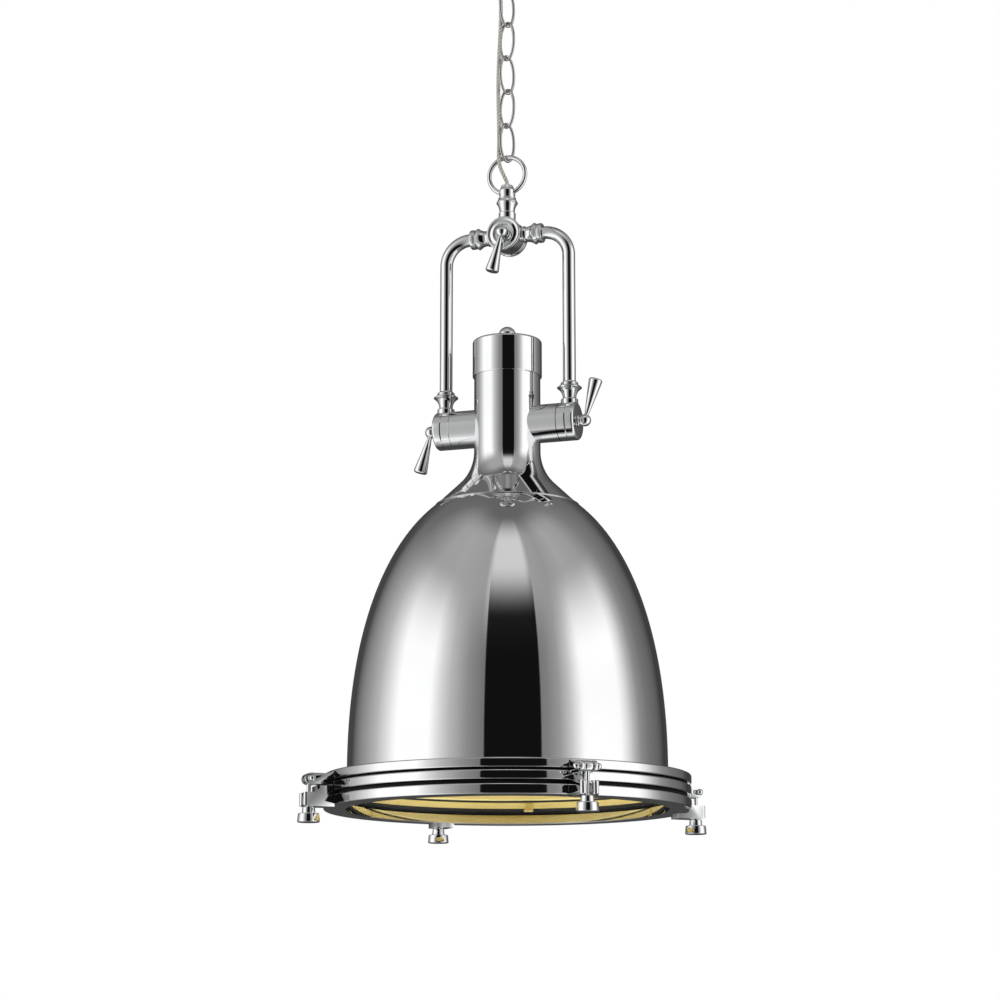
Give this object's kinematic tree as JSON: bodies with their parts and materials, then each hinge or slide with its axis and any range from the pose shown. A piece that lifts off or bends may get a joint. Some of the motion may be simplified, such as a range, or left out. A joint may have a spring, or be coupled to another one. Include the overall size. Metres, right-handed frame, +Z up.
{
  "type": "pendant light",
  "caption": "Chrome industrial pendant light: a bell shade with a clamped glass rim tilts in a two-armed yoke that hangs from a ceiling cup by ring and chain.",
  "frame": {"origin": "in the ceiling plane, midway between the two ceiling screws, on the lamp's axis", "axes": "+Z up, away from the lamp and into the ceiling; X along the shade's trunnion axis, with the raised lever at +X; the hub's lever faces -Y"},
  "size_m": [0.3599, 0.36, 0.9642],
  "materials": {
    "plated_shell": "polished and chrome plated",
    "chrome": "mirror polished",
    "steel": "zinc plated",
    "seal_rubber": "matt",
    "clear_glass": "clear",
    "bulb_glass": "frosted",
    "grey_plastic": "satin",
    "cable_sheath": "clear sheath over stranded cores",
    "porcelain": "glazed",
    "brass": "bright"
  },
  "bodies": {
    "ceiling_mount": {"mounting_bar": "steel", "canopy": "plated_shell", "hanger_nipple": "steel", "nipple_nuts": "steel", "ceiling_loop": "chrome", "cable_gland": "grey_plastic", "terminal_block": "grey_plastic", "power_cable": "cable_sheath"},
    "link_1": {"chain_link_1": "chrome"},
    "link_2": {"chain_link_2": "chrome"},
    "link_3": {"chain_link_3": "chrome"},
    "link_4": {"chain_link_4": "chrome"},
    "link_5": {"chain_link_5": "chrome"},
    "link_6": {"chain_link_6": "chrome"},
    "ring": {"hanging_ring": "chrome"},
    "yoke": {"hub_stem": "chrome", "cable_bush": "grey_plastic", "hub_body": "chrome", "hub_front_face": "chrome", "hub_rear_face": "chrome", "socket_left": "chrome", "socket_right": "chrome", "arm_left": "chrome", "arm_right": "chrome", "ferrule_left": "chrome", "ferrule_right": "chrome", "knuckle_left": "chrome", "knuckle_right": "chrome"},
    "lever_hub": {"hub_lever": "chrome"},
    "lever_left": {"left_lever": "chrome"},
    "lever_right": {"right_lever": "chrome"},
    "shade": {"neck": "plated_shell", "trunnion_bosses": "chrome", "neck_cap": "plated_shell", "finial": "chrome", "rod": "steel", "rod_nut": "steel", "holder_cap": "porcelain", "lampholder": "porcelain", "bulb_screw_cap": "brass", "bulb_glass": "bulb_glass", "shade_bell": "plated_shell", "flange_ring": "plated_shell", "hinge_lugs": "chrome", "hinge_pins": "steel", "rim_gasket": "seal_rubber", "retaining_ring": "plated_shell", "lens_clips": "brass", "lens_seal": "seal_rubber", "lens": "clear_glass", "bezel_ring": "plated_shell", "fork_lugs": "chrome"},
    "bolt_1": {"swing_bolt_1": "steel"},
    "bolt_2": {"swing_bolt_2": "steel"},
    "bolt_3": {"swing_bolt_3": "steel"},
    "bolt_4": {"swing_bolt_4": "steel"},
    "nut_1": {"thumb_nut_1": "chrome"},
    "nut_2": {"thumb_nut_2": "chrome"},
    "nut_3": {"thumb_nut_3": "chrome"},
    "nut_4": {"thumb_nut_4": "chrome"}
  },
  "joints": [
    {"name": "chain_1_swing", "type": "hinge", "parent": "ceiling_mount", "child": "link_1", "pos_m": [0, 0, -0.058], "axis": [0.4384, 0.8988, 0], "range_deg": [-12, 12], "deforming": ["power_cable"]},
    {"name": "chain_2_swing", "type": "hinge", "parent": "link_1", "child": "link_2", "pos_m": [0, 0, -0.0945], "axis": [-0.8988, 0.4384, 0], "range_deg": [-12, 12], "deforming": ["power_cable"]},
    {"name": "chain_3_swing", "type": "hinge", "parent": "link_2", "child": "link_3", "pos_m": [0, 0, -0.1315], "axis": [-0.4384, -0.8988, 0], "range_deg": [-12, 12], "deforming": ["power_cable"]},
    {"name": "chain_4_swing", "type": "hinge", "parent": "link_3", "child": "link_4", "pos_m": [0, 0, -0.1685], "axis": [0.8988, -0.4384, 0], "range_deg": [-12, 12], "deforming": ["power_cable"]},
    {"name": "chain_5_swing", "type": "hinge", "parent": "link_4", "child": "link_5", "pos_m": [0, 0, -0.2055], "axis": [0.4384, 0.8988, 0], "range_deg": [-12, 12], "deforming": ["power_cable"]},
    {"name": "chain_6_swing", "type": "hinge", "parent": "link_5", "child": "link_6", "pos_m": [0, 0, -0.2425], "axis": [-0.8988, 0.4384, 0], "range_deg": [-12, 12], "deforming": ["power_cable"]},
    {"name": "ring_swing", "type": "hinge", "parent": "link_6", "child": "ring", "pos_m": [0, 0, -0.2795], "axis": [-0.4384, -0.8988, 0], "range_deg": [-12, 12], "deforming": ["power_cable"]},
    {"name": "yoke_swing", "type": "hinge", "parent": "ring", "child": "yoke", "pos_m": [0, 0, -0.3143], "axis": [1, 0, 0], "range_deg": [-12, 12], "deforming": ["power_cable"]},
    {"name": "shade_tilt", "type": "hinge", "parent": "yoke", "child": "shade", "pos_m": [0, 0, -0.5605], "axis": [1, 0, 0], "range_deg": [-80, 80]},
    {"name": "hub_lever_turn", "type": "hinge", "parent": "yoke", "child": "lever_hub", "pos_m": [0, -0.01062, -0.3605], "axis": [0, -1, 0], "range_deg": [0, 180]},
    {"name": "left_lever_turn", "type": "hinge", "parent": "yoke", "child": "lever_left", "pos_m": [-0.075, 0, -0.5605], "axis": [-1, 0, 0], "range_deg": [0, 180]},
    {"name": "right_lever_turn", "type": "hinge", "parent": "yoke", "child": "lever_right", "pos_m": [0.075, 0, -0.5605], "axis": [1, 0, 0], "range_deg": [0, 180]},
    {"name": "bolt_1_swing", "type": "hinge", "parent": "shade", "child": "bolt_1", "pos_m": [0.13016, -0.15512, -0.92277], "axis": [-0.766, -0.6428, 0], "range_deg": [0, 95]},
    {"name": "nut_1_turn", "type": "hinge", "parent": "bolt_1", "child": "nut_1", "pos_m": [0.13016, -0.15512, -0.95657], "axis": [0, 0, 1], "continuous": true},
    {"name": "bolt_2_swing", "type": "hinge", "parent": "shade", "child": "bolt_2", "pos_m": [0.15512, 0.13016, -0.92277], "axis": [0.6428, -0.766, 0], "range_deg": [0, 95]},
    {"name": "nut_2_turn", "type": "hinge", "parent": "bolt_2", "child": "nut_2", "pos_m": [0.15512, 0.13016, -0.95657], "axis": [0, 0, 1], "continuous": true},
    {"name": "bolt_3_swing", "type": "hinge", "parent": "shade", "child": "bolt_3", "pos_m": [-0.13016, 0.15512, -0.92277], "axis": [0.766, 0.6428, 0], "range_deg": [0, 95]},
    {"name": "nut_3_turn", "type": "hinge", "parent": "bolt_3", "child": "nut_3", "pos_m": [-0.13016, 0.15512, -0.95657], "axis": [0, 0, 1], "continuous": true},
    {"name": "bolt_4_swing", "type": "hinge", "parent": "shade", "child": "bolt_4", "pos_m": [-0.15512, -0.13016, -0.92277], "axis": [-0.6428, 0.766, 0], "range_deg": [0, 95]},
    {"name": "nut_4_turn", "type": "hinge", "parent": "bolt_4", "child": "nut_4", "pos_m": [-0.15512, -0.13016, -0.95657], "axis": [0, 0, 1], "continuous": true}
  ]
}
